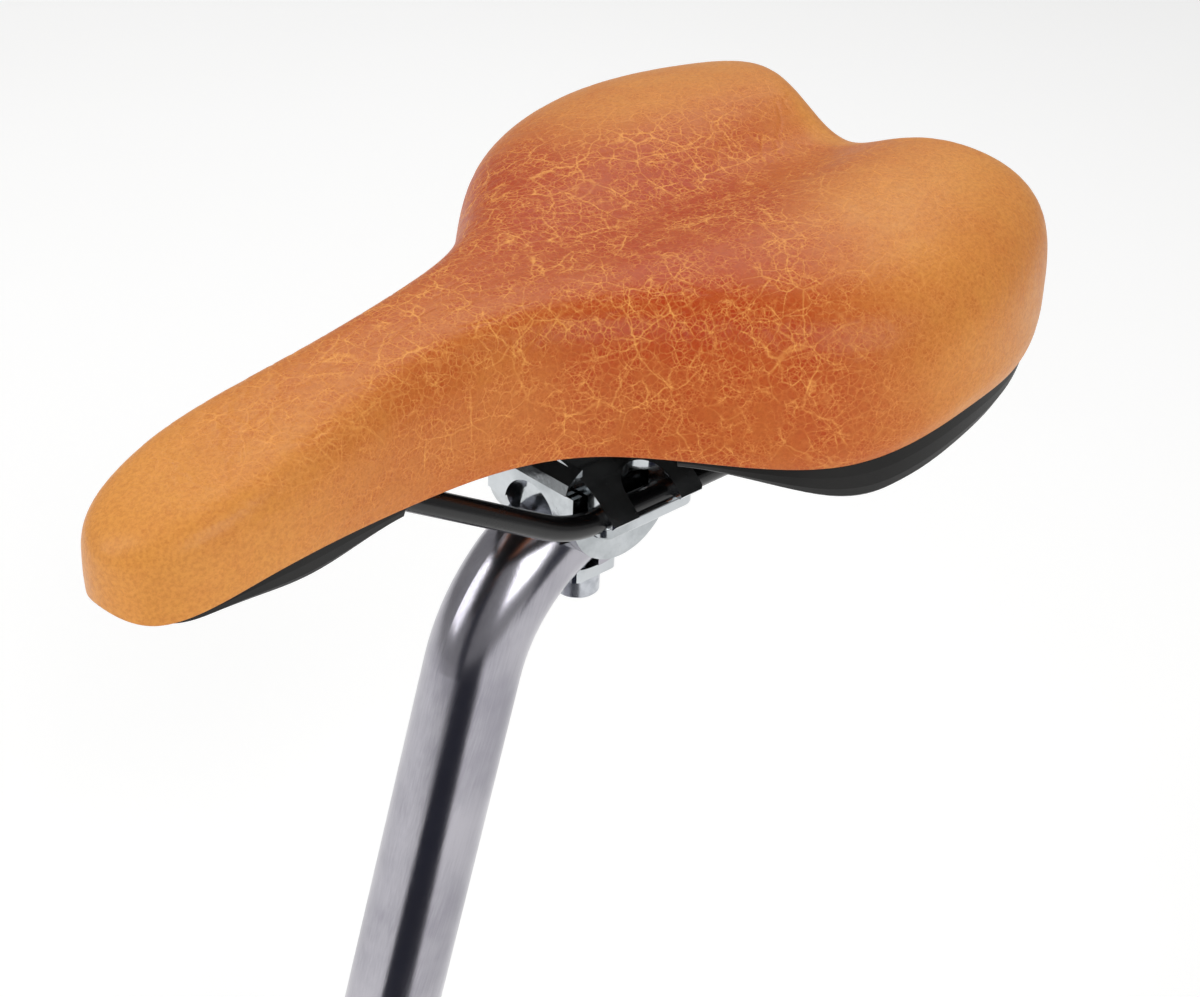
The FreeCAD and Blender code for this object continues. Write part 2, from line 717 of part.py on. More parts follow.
save(make_cover(), "leather_cover")
save(make_foam(), "foam_pad")
save(make_base(), "base_shell")
last = stations - 1
holes = screw_holes(screws, 1.7)
save(make_skirt(rear_start, last, rear_section, last).cut(holes), "rear_skirt")
save(make_skirt(0, nose_end, nose_section, 0), "nose_skirt")
save(make_staples(), "cover_staples")
save(Part.Compound(screws), "skirt_screws")
save(rails, "rails")
save(make_bushes(), "rail_bushes")
socket = make_socket(room, socket_screws)
save(socket, "rear_socket_left")
save(mirrored(socket), "rear_socket_right")
save(Part.Compound(socket_screws + [mirrored(s) for s in socket_screws]), "socket_screws")
save(nose_block(split + 0.1, 90).common(room).cut([rail_room, screw_holes(nose_clip_screws, 2.2)]), "nose_seat")
save(nose_block(nose_clip_z, split - 0.1).cut([rail_room, screw_holes(nose_clip_screws, 2.2)]), "nose_clip")
save(Part.Compound(nose_clip_screws), "nose_clip_screws")
save(make_lower_cradle(), "lower_cradle")
save(make_upper_clamp(), "upper_clamp")
save(make_nut(), "clamp_nut")
save(make_bolt(), "clamp_bolt")
save(make_curved_washer(), "curved_washer")
save(make_spring_washer(), "spring_washer")
save(make_post(), "seat_post")
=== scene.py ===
import json
import math

import bpy
import numpy as np
from mathutils import Matrix, Vector, noise


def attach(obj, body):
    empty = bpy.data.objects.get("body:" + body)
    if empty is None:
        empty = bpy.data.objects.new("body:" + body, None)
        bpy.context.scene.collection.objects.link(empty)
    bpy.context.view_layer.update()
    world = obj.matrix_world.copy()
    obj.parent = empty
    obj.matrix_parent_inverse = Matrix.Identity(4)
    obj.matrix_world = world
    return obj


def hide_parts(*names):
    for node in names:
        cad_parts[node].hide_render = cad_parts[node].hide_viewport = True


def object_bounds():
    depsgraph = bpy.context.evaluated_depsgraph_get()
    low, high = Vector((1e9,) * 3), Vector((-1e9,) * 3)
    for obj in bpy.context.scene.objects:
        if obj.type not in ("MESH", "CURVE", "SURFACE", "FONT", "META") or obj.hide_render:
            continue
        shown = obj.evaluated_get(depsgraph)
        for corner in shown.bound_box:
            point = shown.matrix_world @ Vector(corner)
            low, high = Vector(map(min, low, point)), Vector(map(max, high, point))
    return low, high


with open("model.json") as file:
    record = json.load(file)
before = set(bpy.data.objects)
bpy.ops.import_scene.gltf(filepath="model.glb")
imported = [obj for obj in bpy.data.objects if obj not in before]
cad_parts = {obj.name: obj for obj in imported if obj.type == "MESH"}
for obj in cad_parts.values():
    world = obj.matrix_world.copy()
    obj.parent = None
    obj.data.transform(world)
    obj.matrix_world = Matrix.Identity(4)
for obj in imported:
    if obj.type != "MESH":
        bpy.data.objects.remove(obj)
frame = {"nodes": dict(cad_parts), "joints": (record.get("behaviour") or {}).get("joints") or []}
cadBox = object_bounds()
nodes = frame["nodes"]
tiltJoint = next(joint for joint in frame["joints"] if joint["name"] == "saddle_tilt")
clampCentre = Vector(tiltJoint["pos_m"])
mm = 0.001
print("frame loaded", len(nodes), "nodes")


# a shader value that can be added, subtracted and multiplied
class Wire:
    def __init__(self, finish, socket):
        self.finish = finish
        self.socket = socket

    def maths(self, operation, *values):
        sockets = dict(enumerate(values))
        return self.finish.add("ShaderNodeMath", {"operation": operation}, sockets)

    def __add__(self, other):
        return self.maths("ADD", self, other)

    def __radd__(self, other):
        return self.maths("ADD", other, self)

    def __sub__(self, other):
        return self.maths("SUBTRACT", self, other)

    def __rsub__(self, other):
        return self.maths("SUBTRACT", other, self)

    def __mul__(self, other):
        return self.maths("MULTIPLY", self, other)

    def __rmul__(self, other):
        return self.maths("MULTIPLY", other, self)


class Finish:
    def __init__(self, name):
        self.material = bpy.data.materials.new(name)
        self.material.use_nodes = True
        self.tree = self.material.node_tree
        self.tree.nodes.clear()
        self.place = self.add("ShaderNodeTexCoord", {}, {}, "Object")

    def add(self, kind, settings, sockets, output=0):
        node = self.tree.nodes.new(kind)
        for name, value in settings.items():
            setattr(node, name, value)
        for name, value in sockets.items():
            if isinstance(value, Wire):
                self.tree.links.new(value.socket, node.inputs[name])
            else:
                node.inputs[name].default_value = value
        return Wire(self, node.outputs[output])

    def mixed(self, share, first, second):
        return self.add("ShaderNodeMix", {"data_type": "RGBA"}, {0: share, 6: first, 7: second}, 2)

    def stretched(self, factors):
        # the place, stretched along each axis
        return self.add("ShaderNodeVectorMath", {"operation": "MULTIPLY"}, {0: self.place, 1: factors})

    def warped(self, scale, amount):
        # the place, pushed about by noise so that lines wander
        swirl = self.add("ShaderNodeTexNoise", {}, {
            "Vector": self.place, "Scale": scale, "Detail": 2.0}, "Color")
        centred = self.add("ShaderNodeVectorMath", {"operation": "SUBTRACT"}, {0: swirl, 1: (0.5, 0.5, 0.5)})
        push = self.add("ShaderNodeVectorMath", {"operation": "SCALE"}, {0: centred, "Scale": amount})
        return self.add("ShaderNodeVectorMath", {"operation": "ADD"}, {0: self.place, 1: push})

    def cloud(self, scale, detail=3.0, place=None, roughness=0.5):
        return self.add("ShaderNodeTexNoise", {}, {
            "Vector": place or self.place, "Scale": scale, "Detail": detail, "Roughness": roughness})

    def cells(self, scale, place=None):
        return self.add("ShaderNodeTexVoronoi", {"feature": "DISTANCE_TO_EDGE"}, {
            "Vector": place or self.place, "Scale": scale})

    def ranged(self, value, low, high, start=0.0, end=1.0):
        return self.add("ShaderNodeMapRange", {"interpolation_type": "SMOOTHSTEP"}, {
            "Value": value, "From Min": low, "From Max": high, "To Min": start, "To Max": end})

    def bump(self, height, strength, distance):
        return self.add("ShaderNodeBump", {}, {"Height": height, "Strength": strength, "Distance": distance})


def finishWith(finish, sockets):
    shader = finish.add("ShaderNodeBsdfPrincipled", {}, sockets)
    output = finish.tree.nodes.new("ShaderNodeOutputMaterial")
    finish.tree.links.new(shader.socket, output.inputs["Surface"])
    return finish.material


def paint(code):
    # a colour from its six-figure screen code
    levels = [int(code[k:k + 2], 16) / 255 for k in (0, 2, 4)]
    linear = [v / 12.92 if v <= 0.04045 else ((v + 0.055) / 1.055) ** 2.4 for v in levels]
    return (*linear, 1.0)


leatherLook = {
    "gold": "e39a48", "deep": "b43800", "vein": "eda050", "shade": "9a3602",
    "roughness": 0.4, "coat": 0.08, "coatRoughness": 0.2, "specular": 0.22,
}


def tanLeather():
    f = Finish("waxed tan leather")
    tone = f.add("ShaderNodeAttribute", {"attribute_name": "tone"}, {}, "Fac")
    creased = f.add("ShaderNodeAttribute", {"attribute_name": "creased"}, {}, "Fac")
    patches = f.cloud(34.0, 4.0)
    mottle = f.cloud(190.0, 5.0, roughness=0.65)
    grainNoise = f.cloud(900.0, 4.0, roughness=0.7)
    depth = f.ranged(tone + (patches - 0.5) * 0.5 + (mottle - 0.5) * 0.55, -0.05, 1.05)
    ground = f.mixed(depth, paint(leatherLook["gold"]), paint(leatherLook["deep"]))
    ground = f.mixed(f.ranged(grainNoise, 0.35, 0.7, 0.0, 0.3), ground, paint(leatherLook["shade"]))

    broken = f.cloud(60.0, 3.0)
    longLines = f.cells(70.0, f.warped(120.0, 0.0045))
    netLines = f.cells(190.0, f.warped(330.0, 0.0016))
    meshLines = f.cells(380.0, f.warped(640.0, 0.0009))
    fineLines = f.cells(800.0, f.warped(1300.0, 0.0005))
    longVein = f.ranged(longLines, 0.0, 0.026, 1.0, 0.0) * f.ranged(broken, 0.36, 0.56)
    netVein = f.ranged(netLines, 0.0, 0.055, 1.0, 0.0) * f.ranged(broken * 0.5 + mottle * 0.5, 0.38, 0.58)
    meshVein = f.ranged(meshLines, 0.0, 0.1, 1.0, 0.0) * f.ranged(mottle * 0.6 + patches * 0.4, 0.36, 0.58)
    fineVein = f.ranged(fineLines, 0.0, 0.2, 1.0, 0.0) * f.ranged(mottle, 0.36, 0.62)
    veins = f.add("ShaderNodeMath", {"operation": "ADD", "use_clamp": True}, {
        0: (longVein * 0.5 + netVein * 0.5 + meshVein * 0.38) * creased,
        1: fineVein * (creased * 0.2 + 0.14)})
    colour = f.mixed(veins, ground, paint(leatherLook["vein"]))

    pores = f.cells(1500.0)
    height = grainNoise * 0.5 + pores * 0.35 - veins * 0.8 + patches * 0.4
    roughness = leatherLook["roughness"] + veins * 0.12 + (mottle - 0.5) * 0.16
    return finishWith(f, {
        "Base Color": colour, "Roughness": roughness, "Normal": f.bump(height, 0.32, 0.0005),
        "Coat Weight": leatherLook["coat"], "Coat Roughness": leatherLook["coatRoughness"],
        "Specular IOR Level": leatherLook["specular"],
    })


plasticLook = {"colour": "11100f", "worn": "1b1a19", "roughness": 0.5, "specular": 0.26}


def blackPlastic(name, look):
    f = Finish(name)
    grain = f.cells(1400.0)
    cloud = f.cloud(60.0, 4.0)
    colour = f.mixed(f.ranged(cloud, 0.35, 0.75), paint(look["colour"]), paint(look["worn"]))
    roughness = look["roughness"] + (cloud - 0.5) * 0.14
    return finishWith(f, {
        "Base Color": colour, "Roughness": roughness, "Specular IOR Level": look["specular"],
        "Normal": f.bump(grain + cloud * 0.5, 0.12, 0.0003)})


enamelLook = {"colour": "030304", "dust": "0d0e10", "roughness": 0.25, "coat": 0.1}


def blackEnamel(name, look):
    f = Finish(name)
    ripple = f.cloud(260.0, 2.0)
    scuffs = f.cloud(90.0, 6.0, f.stretched((0.25, 1.0, 1.0)), 0.7)
    colour = f.mixed(f.ranged(scuffs, 0.55, 0.8, 0.0, 0.6), paint(look["colour"]), paint(look["dust"]))
    roughness = look["roughness"] + f.ranged(scuffs, 0.5, 0.8, 0.0, 0.25)
    return finishWith(f, {
        "Base Color": colour, "Roughness": roughness, "Coat Weight": look["coat"], "Coat Roughness": 0.12,
        "Normal": f.bump(ripple, 0.06, 0.0004)})


alloyLook = {"colour": "b4b2b9", "shade": "98969f", "roughness": 0.2}


def drawnAlloy():
    # satin tube, its fine lines running along the post
    f = Finish("satin drawn alloy")
    tilt = math.atan2(clampCentre.x, clampCentre.z)
    turned = f.add("ShaderNodeVectorRotate", {"rotation_type": "Y_AXIS"}, {"Vector": f.place, "Angle": -tilt})
    streaked = f.add("ShaderNodeVectorMath", {"operation": "MULTIPLY"}, {0: turned, 1: (1.0, 1.0, 0.03)})
    lines = f.cloud(2600.0, 3.0, streaked, 0.6)
    cloud = f.cloud(40.0, 4.0)
    scratches = f.ranged(f.cloud(700.0, 6.0, streaked, 0.75), 0.62, 0.72)
    shading = f.ranged(cloud + (lines - 0.5) * 0.4, 0.3, 0.8)
    colour = f.mixed(shading, paint(alloyLook["colour"]), paint(alloyLook["shade"]))
    roughness = alloyLook["roughness"] + (cloud - 0.5) * 0.08 + (lines - 0.5) * 0.1 + scratches * 0.06
    return finishWith(f, {
        "Base Color": colour, "Metallic": 1.0, "Roughness": roughness,
        "Normal": f.bump(lines, 0.1, 0.00012)})


castLook = {"bright": "c9cdd0", "dull": "a0a5a8", "pit": "6d7076", "roughness": 0.1}


def castAlloy():
    f = Finish("polished cast alloy")
    ripple = f.cloud(150.0, 3.0)
    pits = f.ranged(f.cloud(900.0, 5.0, roughness=0.7), 0.64, 0.74)
    smears = f.cloud(60.0, 5.0, roughness=0.65)
    colour = f.mixed(f.ranged(smears, 0.35, 0.75), paint(castLook["bright"]), paint(castLook["dull"]))
    colour = f.mixed(pits * 0.5, colour, paint(castLook["pit"]))
    roughness = castLook["roughness"] + f.ranged(smears, 0.4, 0.8, 0.0, 0.14) + pits * 0.2
    return finishWith(f, {
        "Base Color": colour, "Metallic": 1.0, "Roughness": roughness,
        "Normal": f.bump(ripple * 0.8 - pits * 0.2, 0.16, 0.0008)})


def platedSteel(name, bright, dull, rough):
    # turned or drawn steel with a thin coating
    f = Finish(name)
    smears = f.cloud(220.0, 5.0, roughness=0.65)
    rings = f.cloud(1500.0, 3.0, f.stretched((1.0, 1.0, 4.0)))
    colour = f.mixed(f.ranged(smears, 0.35, 0.7), paint(bright), paint(dull))
    return finishWith(f, {
        "Base Color": colour, "Metallic": 1.0, "Roughness": rough + (smears - 0.5) * 0.2,
        "Normal": f.bump(rings, 0.1, 0.0002)})


def softPlastic(name, colour, worn, rough):
    f = Finish(name)
    cloud = f.cloud(120.0, 4.0)
    grain = f.cloud(1800.0, 2.0)
    return finishWith(f, {
        "Base Color": f.mixed(f.ranged(cloud, 0.3, 0.7), paint(colour), paint(worn)),
        "Roughness": rough + (cloud - 0.5) * 0.12, "Normal": f.bump(grain, 0.15, 0.0003)})


smallParts = {
    "zinc plated steel": ("c9ccd2", "a3a7ae", 0.24), "black oxide steel": ("2a2a2c", "17171a", 0.42),
    "bright wire": ("b4b6ba", "8e9196", 0.3),
    "bush rubber": ("1b1b1c", "29292a", 0.68), "socket nylon": ("222225", "303034", 0.5),
}

plastic = blackPlastic("moulded black plastic", plasticLook)
enamel = blackEnamel("black rail enamel", enamelLook)
postAlloy = drawnAlloy()
clampAlloy = castAlloy()
zincSteel = platedSteel("zinc plated steel", *smallParts["zinc plated steel"])
blackScrews = platedSteel("black oxide steel", *smallParts["black oxide steel"])
stapleWire = platedSteel("bright wire", *smallParts["bright wire"])
bushRubber = softPlastic("bush rubber", *smallParts["bush rubber"])
socketNylon = softPlastic("socket nylon", *smallParts["socket nylon"])

finishOf = {
    "seat_post": postAlloy, "lower_cradle": clampAlloy, "upper_clamp": clampAlloy,
    "curved_washer": clampAlloy, "spring_washer": zincSteel, "clamp_nut": zincSteel, "clamp_bolt": zincSteel,
    "base_shell": plastic, "rear_skirt": plastic, "nose_skirt": plastic,
    "cover_staples": stapleWire, "skirt_screws": blackScrews, "socket_screws": blackScrews,
    "nose_clip_screws": blackScrews, "rails": enamel, "rail_bushes": bushRubber,
    "rear_socket_left": socketNylon, "rear_socket_right": socketNylon, "nose_seat": socketNylon,
    "nose_clip": socketNylon,
}
for name, finish in finishOf.items():
    for place in nodes[name].material_slots:
        place.link = "OBJECT"
        place.material = finish
print("finishes made")


# the cover, in mm about the clamp's centre, +X to the nose
cover = {
    "rim": [(156.5, 0.0, 29.5), (150.5, 13.8, 28.0), (124.0, 22.6, 34.5), (75.0, 20.0, 35.5),
            (25.0, 31.7, 35.5), (-23.0, 75.0, 33.5), (-62.0, 84.7, 42.0), (-100.0, 74.0, 44.5),
            (-115.5, 56.8, 54.0), (-104.5, 0.0, 62.0)],
    "crown": [(-119.0, 83.3), (-66.0, 81.4), (-7.0, 74.3), (52.0, 68.0), (111.0, 55.0), (164.0, 36.5)],
    "squareness": 3.8, "tuck": 8.4, "turnIn": 0.024, "underAngle": 0.9,
    "channelDepth": 9.6, "channelSpread": 20.0, "channelBack": -86.0, "channelFade": 75.0,
    "hem": 9.0, "noseHem": 4.6, "hemStart": 0.3, "hemGrowth": 0.15, "thickness": 1.6,
    "spacing": 0.6, "spineShift": 8, "spineShortening": 56, "spineEase": 1.25,
    "rows": 520, "columns": 120, "underColumns": 16, "flatShare": 0.72, "flatColumns": 0.6, "insideStep": 4,
    "hiddenShare": 1.11,
}


def splineSlopes(times, values, closed):
    # slopes at the knots that keep the curve's bend continuous
    count = len(times)
    gaps = np.diff(times)
    steps = np.diff(values, axis=0) / gaps[:, None]
    if closed:
        size = count - 1
        system, sides = np.zeros((size, size)), np.zeros((size, values.shape[1]))
        for i in range(size):
            before, after = gaps[i - 1], gaps[i]
            system[i, (i - 1) % size] += 1 / before
            system[i, i] += 2 / before + 2 / after
            system[i, (i + 1) % size] += 1 / after
            sides[i] = 3 * (steps[i - 1] / before + steps[i] / after)
        slopes = np.linalg.solve(system, sides)
        return np.vstack([slopes, slopes[:1]])
    system, sides = np.eye(count), np.zeros((count, values.shape[1]))
    for i in range(1, count - 1):
        before, after = gaps[i - 1], gaps[i]
        system[i, i - 1:i + 2] = 1 / before, 2 / before + 2 / after, 1 / after
        sides[i] = 3 * (steps[i - 1] / before + steps[i] / after)
    for end, few in ((0, slice(0, 4)), (count - 1, slice(count - 4, count))):
        polynomial = np.polyfit(times[few] - times[end], values[few], 3)
        sides[end] = polynomial[2]
    return np.linalg.solve(system, sides)


def splineAt(times, values, slopes, query):
    span = np.clip(np.searchsorted(times, query, side="right") - 1, 0, len(times) - 2)
    gap = (times[span + 1] - times[span])[:, None]
    t = (query[:, None] - times[span][:, None]) / gap
    leaving = (2 * t**3 - 3 * t**2 + 1) * values[span] + (t**3 - 2 * t**2 + t) * (slopes[span] * gap)
    arriving = (3 * t**2 - 2 * t**3) * values[span + 1] + (t**3 - t**2) * (slopes[span + 1] * gap)
    return leaving + arriving


rightRim = [(x, -y, z) for x, y, z in reversed(cover["rim"][1:-1])]
rimPoints = np.array(cover["rim"] + rightRim + cover["rim"][:1])
rimGaps = np.hypot(*np.diff(rimPoints[:, :2], axis=0).T)
rimTimes = np.concatenate([[0.0], np.cumsum(rimGaps ** cover["spacing"])])
rimSlopes = splineSlopes(rimTimes, rimPoints, True)
crownTimes = np.array([x for x, z in cover["crown"]])
crownHeights = np.array([[z] for x, z in cover["crown"]])
crownSlopes = splineSlopes(crownTimes, crownHeights, False)


def rimAt(us):
    return splineAt(rimTimes, rimPoints, rimSlopes, us * rimTimes[len(cover["rim"]) - 1])


def crownAt(x):
    held = np.clip(x, crownTimes[0], crownTimes[-1])
    return splineAt(crownTimes, crownHeights, crownSlopes, held.ravel())[:, 0].reshape(x.shape)


def topHeight(x, y):
    fade = np.maximum((x - cover["channelBack"]) / cover["channelFade"], 0.0)
    dip = cover["channelDepth"] * np.exp(-fade**2 - (y / cover["channelSpread"]) ** 2)
    return crownAt(x) - dip


def spineAt(x):
    # where along the middle the lines to the outline start
    nose, notch = cover["rim"][0][0], cover["rim"][-1][0]
    middle = (nose + notch + cover["spineShift"]) / 2
    half = (nose - notch - cover["spineShortening"]) / 2
    ease = cover["spineEase"]
    return middle + half * np.tanh((x - middle) / half * ease) / math.tanh(ease)


def smooth(t):
    held = np.clip(t, 0.0, 1.0)
    return held * held * (3 - 2 * held)


def coverSection():
    # the lines that run round the cover: share of the way to the widest line, then the angle below it
    power, bend, edge = cover["squareness"], cover["underAngle"], cover["flatShare"]
    flat = np.linspace(0, edge, int(cover["columns"] * cover["flatColumns"]), endpoint=False)
    start = math.asin(edge ** (power / 2))
    turned = np.sin(np.linspace(start, math.pi / 2, cover["columns"] - len(flat))) ** (2 / power)
    share = np.concatenate([flat, turned, np.ones(cover["underColumns"])])
    under = np.concatenate([np.zeros(cover["columns"]), np.linspace(0, bend, cover["underColumns"] + 1)[1:]])
    return share, under


def coverPoints(us, share, under):
    rim = rimAt(us)
    lowestX = np.minimum.accumulate(rim[:, 0])
    spine = spineAt(lowestX)[:, None]
    edgeX, edgeY, edgeZ = (rim[:, k][:, None] for k in range(3))
    s, a = share[None, :], under[None, :]
    bend = cover["underAngle"]
    inward = 1 - cover["turnIn"] * (1 - np.cos(a)) / (1 - math.cos(bend))
    x = spine + s * inward * (edgeX - spine)
    y = s * inward * edgeY
    power = cover["squareness"]
    rise = np.maximum(1 - s**power, 0.0) ** (1 / power)
    drop = cover["tuck"] * np.sin(a) / math.sin(bend)
    z = edgeZ + (topHeight(x, y) - edgeZ) * rise - drop
    return np.stack([x + 0 * z, y + 0 * z, z], axis=-1)


def gridNormals(grid):
    along = np.gradient(grid, axis=0)
    across = np.gradient(grid, axis=1)
    along[0] = (0, 1, 0)
    along[-1] = (0, -1, 0)
    normals = np.cross(across, along)
    normals[:, 0, 1] = 0
    lengths = np.linalg.norm(normals, axis=-1, keepdims=True)
    return np.where(lengths > 1e-9, normals / np.maximum(lengths, 1e-9), (0.0, 0.0, 1.0))


def buildCover():
    us = np.linspace(0, 1, cover["rows"])
    share, under = coverSection()
    outside = coverPoints(us, share, under)
    outside[0, :, 1] = outside[-1, :, 1] = 0
    normals = gridNormals(outside)
    # hem: turned in under the shell, then back up inside the leather
    edge = outside[:, -1]
    flat = -normals[:, -1] * (1, 1, 0)
    flat /= np.linalg.norm(flat, axis=-1, keepdims=True)
    flat[0], flat[-1] = (-1, 0, 0), (1, 0, 0)
    growth = smooth((us - cover["hemStart"]) / cover["hemGrowth"])
    width = cover["noseHem"] + (cover["hem"] - cover["noseHem"]) * growth
    steps = [(0.05, 0), (0.12, 0), (0.3, 0), (0.5, 0), (0.75, 0), (0.97, 0.05), (1.0, 0.3)]
    steps.append((1.0, cover["thickness"]))
    hem = [edge + flat * (width * reach)[:, None] + (0, 0, lift) for reach, lift in steps]
    back = slice(None, None, -cover["insideStep"])
    inner = outside[:, back] - normals[:, back] * cover["thickness"]
    inner[:, -1, 1] = 0
    last = outside[:, :1] - normals[:, :1] * cover["thickness"]
    inner = np.concatenate([inner, last], axis=1)
    grid = np.concatenate([outside, np.stack(hem, axis=1), inner], axis=1)
    outwardGrid = np.zeros_like(grid)
    outwardGrid[:, :outside.shape[1]] = normals
    grid[0, :, 1] = grid[-1, :, 1] = 0
    grid[:, 0, 1] = grid[:, -1, 1] = 0
    grid[..., 1] = np.maximum(grid[..., 1], 0)
    rows, columns = grid.shape[:2]

    # the right half mirrors the left and shares the points on the seam between them
    number = np.arange(rows * columns).reshape(rows, columns)
    seam = np.zeros((rows, columns), bool)
    seam[0] = seam[-1] = True
    seam[:, 0] = seam[:, -1] = True
    other = number.copy()
    other[~seam] = rows * columns + np.arange((~seam).sum())
    points = np.concatenate([grid.reshape(-1, 3), (grid * (1, -1, 1))[~seam]])
    outward = np.concatenate([outwardGrid.reshape(-1, 3), (outwardGrid * (1, -1, 1))[~seam]])
    uOf = np.repeat(us, columns).reshape(rows, columns)
    hidden = np.full(columns - len(share), cover["hiddenShare"])
    shareOf = np.tile(np.concatenate([share + under * 0.12, hidden]), (rows, 1))
    uAll = np.concatenate([uOf.ravel(), uOf[~seam]])
    shareAll = np.concatenate([shareOf.ravel(), shareOf[~seam]])
    left = np.stack([number[:-1, :-1], number[1:, :-1], number[1:, 1:], number[:-1, 1:]], axis=-1)
    right = np.stack([other[:-1, :-1], other[:-1, 1:], other[1:, 1:], other[1:, :-1]], axis=-1)
    return points, outward, uAll, shareAll, np.concatenate([left.reshape(-1, 4), right.reshape(-1, 4)])


creasing = {
    "wave": 0.22, "waveSize": 46.0, "groove": 0.13, "grooveSize": 11.0, "grooveWidth": 0.75,
    "wander": 2.2, "wanderSize": 7.0, "shownShare": 1.05,
}
# along the outline: place from the nose (0) to the notch (1), then how cracked or how deep the stain is
wear = {
    "cracked": [(0, 0.12), (0.06, 0.22), (0.14, 0.55), (0.22, 0.85), (0.35, 1.0), (0.52, 1.0), (0.62, 0.5),
                (0.75, 0.3), (1.0, 0.3)],
    "stained": [(0, 0.02), (0.08, 0.05), (0.14, 0.14), (0.2, 0.32), (0.27, 0.5), (0.34, 0.6), (0.4, 0.8),
                (0.46, 0.9), (0.53, 0.86), (0.58, 0.55), (0.63, 0.32), (0.75, 0.2), (1.0, 0.22)],
}


def alongOutline(table, u):
    places, amounts = zip(*table)
    return np.interp(u, places, amounts)


def creaseDepth(points, u, share):
    # soft waves of the padding and the cracked folds of worn leather, in mm along the normal
    worn = creasedShare(u, share)
    depths = np.zeros(len(points))
    for i in np.nonzero(share < creasing["shownShare"])[0]:
        p = Vector(points[i])
        wave = noise.noise(p / creasing["waveSize"])
        bent = p + noise.noise_vector(p / creasing["wanderSize"]) * creasing["wander"]
        near = noise.voronoi(bent / creasing["grooveSize"])[0]
        gap = (near[1] - near[0]) * creasing["grooveSize"]
        groove = math.exp(-(gap / creasing["grooveWidth"]) ** 2)
        depths[i] = creasing["wave"] * wave - creasing["groove"] * groove * worn[i]
    return depths


def creasedShare(u, share):
    # how cracked the leather is: most over the waist and the middle, least at the nose and round the lobes
    along = alongOutline(wear["cracked"], u)
    middle = 0.5 * smooth((u - 0.5) / 0.1) * (1 - smooth((share - 0.2) / 0.6))
    return along * (1 - 0.35 * smooth((share - 0.85) / 0.25)) + middle


def deepShare(u, share):
    # how deep the stain is: golden at the nose, the edges and the lobes, deep along the middle and the waist
    along = alongOutline(wear["stained"], u)
    middle = 0.42 * smooth((u - 0.5) / 0.1) * (1 - smooth((share - 0.12) / 0.5))
    low = 0.12 * smooth((share - 0.9) / 0.1) * smooth((u - 0.3) / 0.15) * (1 - smooth((u - 0.5) / 0.1))
    return along + middle - low


def meshPiece(name, points, faces):
    mesh = bpy.data.meshes.new(name)
    mesh.from_pydata([tuple(p) for p in points], [], [tuple(f) for f in faces])
    mesh.polygons.foreach_set("use_smooth", [True] * len(mesh.polygons))
    mesh.update()
    piece = bpy.data.objects.new(name, mesh)
    bpy.context.scene.collection.objects.link(piece)
    return piece


points, outward, uAll, shareAll, faces = buildCover()
print("cover grid", len(points))
depths = creaseDepth(points, uAll, shareAll)
placed = (points + outward * depths[:, None]) * mm + np.array(clampCentre)
coverPiece = meshPiece("leather_cushion", placed, faces)
for label, values in (("tone", deepShare(uAll, shareAll)), ("creased", creasedShare(uAll, shareAll))):
    field = coverPiece.data.attributes.new(label, "FLOAT", "POINT")
    field.data.foreach_set("value", values.astype(np.float32))
coverPiece.data.materials.append(tanLeather())
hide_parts("leather_cover", "foam_pad")
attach(coverPiece, "saddle")
print("leather cover made", len(faces), "faces")


studio = {
    "floor": "ffffff", "floorPatch": "fcfcfb", "floorGlow": 0.14, "floorDrop": 0.004, "floorSize": 9.0,
    "world": 0.36, "flag": (0.03, 0.032, 0.05, 1.0),
}
# soft lamps and dark cards: direction and distance from the clamp's centre, width, height and a lamp's power
softboxes = {
    "overhead box": ((-0.35, -0.45, 1.0), 1.9, 1.5, 1.5, 15.0),
    "nose side box": ((1.0, -0.55, 0.7), 1.7, 0.7, 1.3, 9.0),
    "camera side box": ((0.35, 1.2, 0.75), 2.0, 1.0, 1.2, 15.0),
}
flags = {
    "flag before the post": ((0.45, 0.32, -0.36), 0.4, 0.3, 0.4),
    "flag high left": ((1.0, 0.25, 0.25), 1.2, 0.3, 1.2),
    "flag high right": ((-0.25, 1.0, 0.2), 1.2, 0.4, 1.2),
}


def stagePlane(name, centre, normal, width, height, material):
    turn = Vector(normal).normalized().to_track_quat("Z", "Y").to_matrix().to_4x4()
    half = (width / 2, height / 2)
    corners = [(-half[0], -half[1], 0), (half[0], -half[1], 0), (half[0], half[1], 0), (-half[0], half[1], 0)]
    plane = meshPiece(name, corners, [(0, 1, 2, 3)])
    plane.matrix_world = Matrix.Translation(centre) @ turn
    plane.data.materials.append(material)
    return plane


def floorFinish():
    f = Finish("pale floor")
    cloud = f.cloud(3.0, 3.0)
    return finishWith(f, {
        "Base Color": f.mixed(cloud, paint(studio["floor"]), paint(studio["floorPatch"])), "Roughness": 0.85,
        "Emission Color": (1.0, 1.0, 1.0, 1.0), "Emission Strength": studio["floorGlow"]})


floorZ = cadBox[0].z - studio["floorDrop"]
stagePlane("floor", (0, 0, floorZ), (0, 0, 1), studio["floorSize"], studio["floorSize"], floorFinish())

flagFinish = finishWith(Finish("dark flag"), {
    "Base Color": studio["flag"], "Roughness": 1.0, "Specular IOR Level": 0.0})


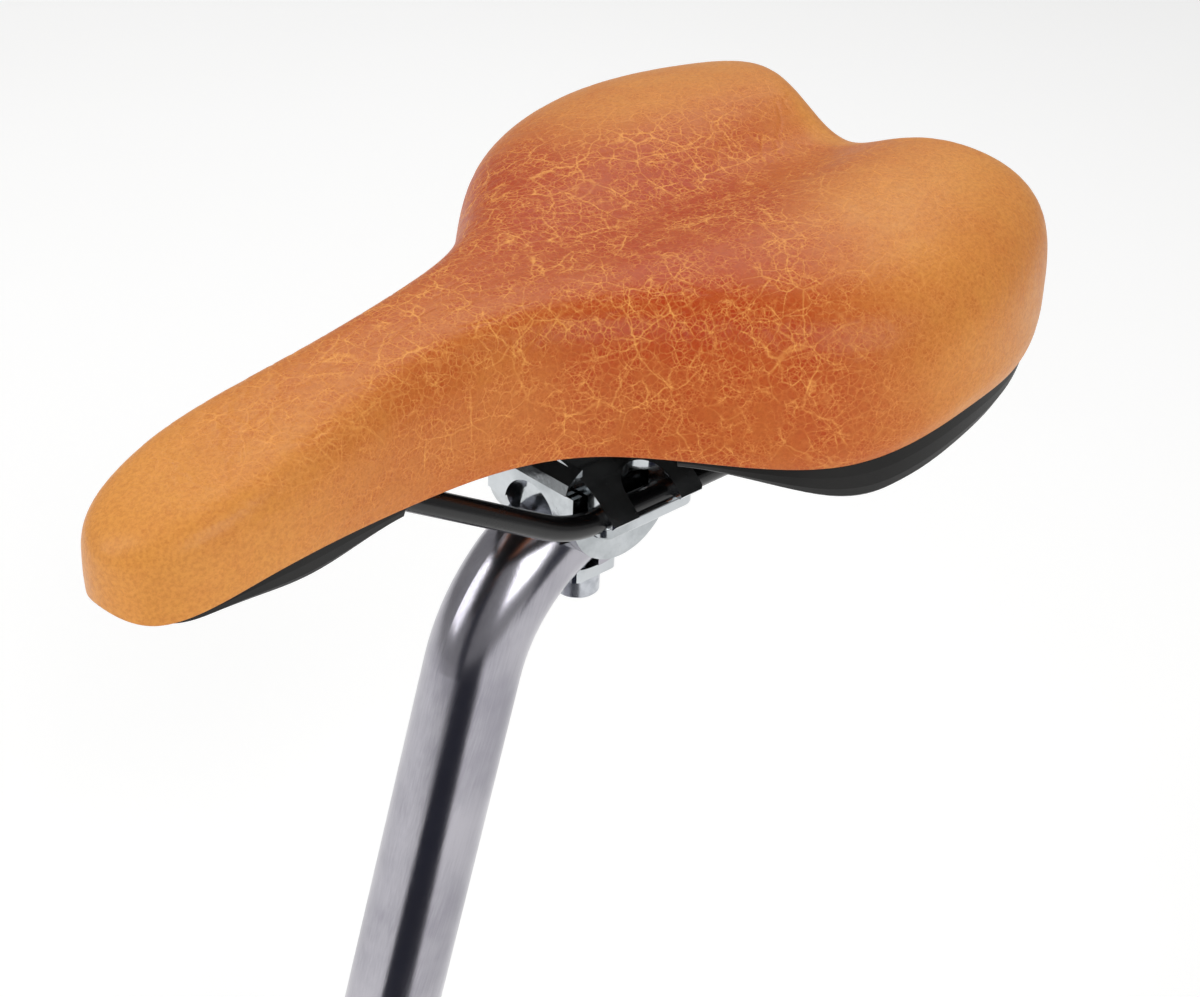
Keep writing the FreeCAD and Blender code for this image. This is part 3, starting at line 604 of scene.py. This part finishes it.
def flag(name, direction, distance, width, height):
    # a dark card that shows only in reflections
    centre = clampCentre + Vector(direction).normalized() * distance
    card = stagePlane(name, centre, -Vector(direction), width, height, flagFinish)
    card.visible_camera = False
    card.visible_diffuse = False
    card.visible_shadow = False


def softbox(name, direction, distance, width, height, power):
    light = bpy.data.lights.new(name, "AREA")
    light.shape = "RECTANGLE"
    light.size, light.size_y = width, height
    light.energy = power
    lamp = bpy.data.objects.new(name, light)
    bpy.context.scene.collection.objects.link(lamp)
    lamp.location = clampCentre + Vector(direction).normalized() * distance
    lamp.rotation_euler = Vector(direction).to_track_quat("Z", "Y").to_euler()


for name, settings in softboxes.items():
    softbox(name, *settings)
for name, settings in flags.items():
    flag(name, *settings)

world = bpy.data.worlds.new("studio")
bpy.context.scene.world = world
world.use_nodes = True
background = world.node_tree.nodes["Background"]
background.inputs["Color"].default_value = (1.0, 1.0, 1.0, 1.0)
background.inputs["Strength"].default_value = studio["world"]

lens = {
    "azimuth": 45.22, "elevation": 30.37, "roll": 2.44, "length": 77.16, "sensor": 36.0,
    "eye": (0.3247, 0.44075, 0.6344), "nearest": 0.02, "farthest": 60.0,
}


def makeCamera():
    a, e, r = (math.radians(lens[k]) for k in ("azimuth", "elevation", "roll"))
    back = Vector((math.cos(a) * math.cos(e), math.sin(a) * math.cos(e), math.sin(e)))
    level = Vector((0, 0, 1)).cross(back).normalized()
    up = back.cross(level)
    right = math.cos(r) * level + math.sin(r) * up
    top = math.cos(r) * up - math.sin(r) * level
    data = bpy.data.cameras.new("camera")
    data.sensor_width = lens["sensor"]
    data.lens = lens["length"]
    data.clip_start, data.clip_end = lens["nearest"], lens["farthest"]
    camera = bpy.data.objects.new("camera", data)
    bpy.context.scene.collection.objects.link(camera)
    turn = Matrix((right, top, back)).transposed().to_4x4()
    camera.matrix_world = Matrix.Translation(lens["eye"]) @ turn
    bpy.context.scene.camera = camera


makeCamera()
bpy.context.scene.view_settings.view_transform = "Standard"
print("studio ready")
